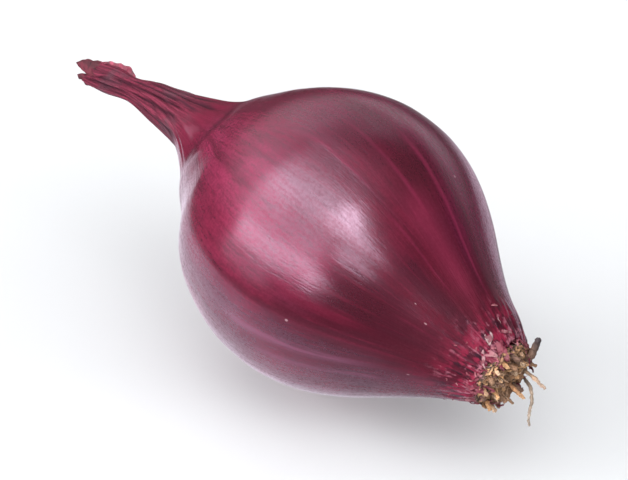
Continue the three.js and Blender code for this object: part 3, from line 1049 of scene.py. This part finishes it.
# ---- The torn leaf ends --------------------------------------------------
# What is left of the leaves: two stiff dead tips that stand out of the neck's mouth, and a flake
# of the outer sheath that has peeled away from its upper side.

# The leaf ends spread sideways across the neck, and lie flat in front of each other.
SIDEWAYS = Vector((0.6, 0.8, 0))
FORWARDS = Vector((0.8, -0.6, 0))
LEAF_CRUMPLE = 0.12
LEAF_WRINKLE = 0.2
LEAF_TEAR = 0.16
leaf_sideways = np.array(lying.to_3x3() @ SIDEWAYS)
leaf_facing = np.array(lying.to_3x3() @ FORWARDS)
leaf_strand = make_strand(28, 26)


def leaf_path(places):
    """Points given by their height, how far across the neck they lie, and how far in front of it."""
    path = []
    for height, across, ahead in places:
        middle = Vector((*neck_lean(height), height))
        path.append(np.array(lying @ ((middle + SIDEWAYS * across + FORWARDS * ahead) * MM)))
    return path


def torn_leaf(name, places, half_width, half_thickness, curl, seed, stands_for):
    """A wrinkled dead leaf end with a ragged edge."""
    path = leaf_path(places)
    leaf = lay_strand(leaf_strand, path, [leaf_facing] * len(path), half_width, half_thickness, curl)
    leaf.name = name
    points = read_points(leaf)
    crumple = noise_at(tuple(2200 * points.T), seed)
    wrinkle = np.abs(noise_at(tuple((points * (2600, 2600, 900)).T), seed + 1))
    torn_edge = noise_at(tuple(1900 * points.T), seed + 2)
    lift = LEAF_CRUMPLE * crumple + LEAF_WRINKLE * wrinkle
    points = points + leaf_facing * (lift * MM)[:, None]
    write_points(leaf, points + leaf_sideways * (LEAF_TEAR * torn_edge * MM)[:, None])
    paint(leaf, "wrinkle", np.clip(3 * wrinkle, 0, 1))
    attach(leaf, "root")
    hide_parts(stands_for)
    return leaf


upper_leaf = torn_leaf(
    "torn_leaf_upper",
    [(22.6, 0.05, 0.2), (24.2, 0.1, 0.35), (25.2, 0.0, 0.3), (25.95, -0.3, 0.2)],
    lambda share: 0.62 * MM * (1 - share**2.2) ** 0.7 + 0.06 * MM,
    lambda share: 0.11 * MM * (1 - 0.7 * share),
    -0.3 * MM,
    61,
    "leaf_tip_1",
)
lower_leaf = torn_leaf(
    "torn_leaf_lower",
    [(22.4, -0.55, 0.1), (23.6, -0.7, 0.3), (24.5, -0.8, 0.3), (25.25, -0.85, 0.15)],
    lambda share: 0.45 * MM * (1 - share**2) ** 0.7 + 0.05 * MM,
    lambda share: 0.1 * MM * (1 - 0.7 * share),
    -0.25 * MM,
    71,
    "leaf_tip_2",
)
peeled_flake = torn_leaf(
    "peeled_flake",
    [(21.2, 0.65, 0.25), (21.9, 0.93, 0.2), (23.0, 0.98, 0.1), (24.2, 0.6, 0.15)],
    lambda share: 0.42 * MM * np.sin(math.pi * (0.12 + 0.8 * share)) ** 0.6,
    lambda share: 0.05 * MM * (1 - 0.5 * share),
    0.12 * MM,
    81,
    "leaf_flake",
)

LEAF_BROWN = rgb(0.05, 0.009, 0.015)
LEAF_RED = rgb(0.105, 0.016, 0.028)
LEAF_FOLD_SHADE = rgb(0.02, 0.005, 0.01)
LEAF_TIP = rgb(0.035, 0.012, 0.015)
start, shader = new_material(upper_leaf, "dead_leaf")
wear(lower_leaf, upper_leaf.data.materials[0])
mottle = start.place().noise(1300)
leaf_layers = [
    (mottle.between(0.4, 0.65), LEAF_RED),
    # Painted shade in the valleys of the wrinkles.
    (start.stored("wrinkle").between(0.35, 0.05), LEAF_FOLD_SHADE),
    (0.5 * start.stored("reach").between(0.7, 1.0), LEAF_TIP),
]
dead = layered(LEAF_BROWN, leaf_layers)
finish(shader, dead, 0.55 + 0.2 * mottle, mottle.relief(0.5, 0.1), 0.2)

SHEATH_RED = rgb(0.13, 0.014, 0.032)
SHEATH_PINK = rgb(0.26, 0.045, 0.08)
SHEATH_FOLD_SHADE = rgb(0.06, 0.01, 0.02)
start, shader = new_material(peeled_flake, "thin_pink_sheath")
mottle = start.place().noise(1500)
sheath_layers = [
    (mottle.between(0.4, 0.62), SHEATH_PINK),
    # Painted shade in the valleys of the wrinkles.
    (start.stored("wrinkle").between(0.4, 0.05), SHEATH_FOLD_SHADE),
]
thin = layered(SHEATH_RED, sheath_layers)
finish(shader, thin, 0.45 + 0.2 * mottle, mottle.relief(0.4, 0.08), 0.3)

# The two strands that the others were copied from are no pieces of the plant.
for template in (fine_strand, leaf_strand):
    bpy.data.objects.remove(template)


# ---- Floor, light and camera ---------------------------------------------
# A white table top with a soft sky of white panels round it. Far from the bulb, where the panels
# don't reach, the table glows a little so that it stays white to the horizon.

TABLE_SIZE = 6
TABLE_DROP = 0.03
bpy.ops.mesh.primitive_plane_add(size=TABLE_SIZE, location=(0, 0, -TABLE_DROP * MM))
floor = bpy.context.object
floor.name = "table_top"
start, shader = new_material(floor, "white_table")
far = start.place().distance((0, 0, 0))
table_inputs = {
    "Base Color": rgb(0.832, 0.85, 0.872),
    "Roughness": 0.6,
    "Emission Color": far.between(0, 0.9).mix(rgb(0, 0, 0), rgb(1, 1, 1)),
    "Emission Strength": 0.75,
}
connect(shader, table_inputs)
floor.visible_glossy = False
floor.visible_shadow = False
floor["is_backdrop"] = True

# Gloss mirrors only the table near the bulb, because the studio is dark beyond it. The table is
# brightest in front of the bulb and to its left, and glows softly behind it.
MIRRORED_RADIUS = 0.052
MIRRORED_MIDDLE = (0.002, 0.011)
bpy.ops.mesh.primitive_circle_add(
    vertices=96,
    radius=MIRRORED_RADIUS,
    fill_type="NGON",
    location=(*MIRRORED_MIDDLE, -2 * TABLE_DROP * MM),
)
near_table = bpy.context.object
near_table.name = "mirrored_table"
bpy.ops.object.transform_apply(location=True)
start, shader = new_material(near_table, "mirrored_table")
away = start.place().distance((-0.018, -0.01, 0)).between(0.014, 0.045)
behind = start.place().distance((0.006, 0.042, 0)).between(0.03, 0.01)
glow = away.mix(rgb(0.98, 0.93, 1.08), rgb(0, 0, 0))
mirrored_inputs = {
    "Base Color": away.mix(rgb(0.86, 0.86, 0.875), rgb(0.75, 0.74, 0.78)),
    "Roughness": 0.6,
    "Emission Color": behind.mix(glow, rgb(0.72, 0.52, 0.66)),
    "Emission Strength": 1.2,
}
connect(shader, mirrored_inputs)
near_table.visible_camera = False
near_table.visible_diffuse = False
near_table.visible_shadow = False
near_table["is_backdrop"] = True

# Seen directly the sky is pale, and it lights the table and the bulb only dimly.
SKY_GLOW = 0.08
SKY_SEEN = 0.9
world = bpy.data.worlds.new("studio")
bpy.context.scene.world = world
world.use_nodes = True
sky = Wire(world.node_tree)
seen = sky.node("ShaderNodeLightPath", output="Is Camera Ray")
background = world.node_tree.nodes["Background"]
sky_inputs = {"Color": rgb(0.96, 0.965, 0.975), "Strength": SKY_GLOW + SKY_SEEN * seen}
connect(background, sky_inputs)

BULB_MIDDLE = Vector((0, 0, 0.011))


def way_to(azimuth, elevation):
    """The direction from the bulb to a place round it. Azimuth 0 is in front, along -Y."""
    turn, rise = math.radians(azimuth), math.radians(elevation)
    ahead = -math.cos(turn) * math.cos(rise)
    return Vector((math.sin(turn) * math.cos(rise), ahead, math.sin(rise)))


def add_softbox(name, azimuth, elevation, distance, size, radiance, lit):
    """A panel of light that faces the bulb and lights only the given objects."""
    way = way_to(azimuth, elevation)
    bpy.ops.object.light_add(type="AREA", location=BULB_MIDDLE + way * distance)
    light = bpy.context.object
    light.name = name
    light.rotation_euler = way.to_track_quat("Z", "Y").to_euler()
    light.data.shape = "RECTANGLE"
    light.data.size, light.data.size_y = size
    light.data.energy = radiance * math.pi * size[0] * size[1]
    group = bpy.data.collections.new(name + "_lights")
    for piece in lit:
        group.objects.link(piece)
    light.light_linking.receiver_collection = group
    return light


def soften_edges(light, soft):
    """Fades a panel out over a share of each half of it."""
    light.data.use_nodes = True
    glow = Wire(light.data.node_tree)
    over_panel = glow.node("ShaderNodeNewGeometry", output="Parametric")
    brightness = 1.0
    for axis in "XY":
        along = glow.node("ShaderNodeSeparateXYZ", inputs={0: over_panel}, output=axis)
        from_middle = glow.math("ABSOLUTE", along - 0.5)
        brightness = from_middle.between(0.5, 0.5 - 0.5 * soft) * brightness
    connect(light.data.node_tree.nodes["Emission"], {"Strength": brightness})


# Panels round the bulb: how they look from it, in degrees, how bright they are, and the share of
# each half over which they fade out. The half width and height reach to where half the light is.
PANEL_DISTANCE = 0.6
PANELS = [  # name, azimuth, elevation, half width, half height, radiance, soft share
    ("front_softbox", -8, 55, 37, 41, 2.4, 0.55),
    ("front_middle", -2, 55, 26, 33, 1.2, 0.6),
    ("low_strip", -7, 18, 32, 8, 3.6, 0.35),
    ("low_right", 25, 11, 6, 5, 5.2, 0.3),
    ("horizon_left", -25, 2, 20, 8, 1.3, 0.6),
    ("left_strip", -44, 42, 13, 18, 1.6, 0.95),
    ("left_edge", -64, 34, 20, 18, 1.0, 0.8),
    ("top_panel", 3, 68, 32, 16, 1.9, 0.5),
    ("bright_panel", 68, 59, 7, 9, 6.4, 0.4),
    ("bright_halo", 55, 54, 12, 13, 3.5, 0.5),
    ("tail_high", 62, 42, 8, 7, 4.2, 0.4),
    ("tail_low", 48, 31, 7, 6, 6.0, 0.4),
    ("left_fill", -88, 36, 26, 22, 0.6, 0.9),
    ("left_back", -130, 32, 32, 24, 0.8, 0.8),
    ("back_strip", -165, 4, 25, 9, 0.8, 0.9),
    ("top_back", 180, 80, 30, 12, 0.5, 0.8),
]
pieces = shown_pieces()
for name, azimuth, elevation, half_width, half_height, radiance, soft in PANELS:
    size = [2 * PANEL_DISTANCE * math.tan(math.radians(a)) for a in (half_width, half_height)]
    size = [side / (1 - soft / 2) for side in size]
    panel = add_softbox(name, azimuth, elevation, PANEL_DISTANCE, size, radiance, pieces)
    soften_edges(panel, soft)

# The table's own lights: where each panel stands, its half width in degrees, and its share of the
# light that falls on the table. The rest reaches it from all round, and casts no shadow.
TABLE_PANELS = [  # name, azimuth, elevation, half width, share
    ("table_top_panel", 0, 82, 26, 0.19),
    ("table_right", 90, 50, 18, 0.165),
    ("table_left", -90, 50, 18, 0.06),
    ("table_front", -30, 32, 18, 0.10),
    ("table_front_low", -60, 14, 13, 0.12),
    ("table_back_low", 120, 14, 13, 0.08),
]
FILL_RADIANCE = 0.693
FILL_SIZE = (3.0, 3.0)
FILL_HEIGHT = 1.0
tables = [floor, near_table]
for name, azimuth, elevation, half_width, share in TABLE_PANELS:
    side = 2 * PANEL_DISTANCE * math.tan(math.radians(half_width))
    solid_angle = 4 * math.asin(math.sin(math.radians(half_width)) ** 2)
    radiance = share * math.pi / (solid_angle * math.sin(math.radians(elevation)))
    add_softbox(name, azimuth, elevation, PANEL_DISTANCE, (side, side), radiance, tables)
table_fill = add_softbox("table_fill", 0, 90, FILL_HEIGHT, FILL_SIZE, FILL_RADIANCE, tables)
table_fill.data.use_shadow = False

VIEW_AZIMUTH = 45
VIEW_ELEVATION = 40
VIEW_DISTANCE = 0.33
VIEW_SHIFT = Vector((0.00155, -0.00042, -0.00112))
LENS = 258
view_way = way_to(VIEW_AZIMUTH, VIEW_ELEVATION)
view_middle = (cad_low + cad_high) / 2 + VIEW_SHIFT
bpy.ops.object.camera_add(location=view_middle + view_way * VIEW_DISTANCE)
camera = bpy.context.object
camera.rotation_euler = view_way.to_track_quat("Z", "Y").to_euler()
camera.data.lens = LENS
camera.data.clip_start = 0.01
camera.data.clip_end = 20
bpy.context.scene.camera = camera
bpy.context.scene.view_settings.view_transform = "Standard"

low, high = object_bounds()
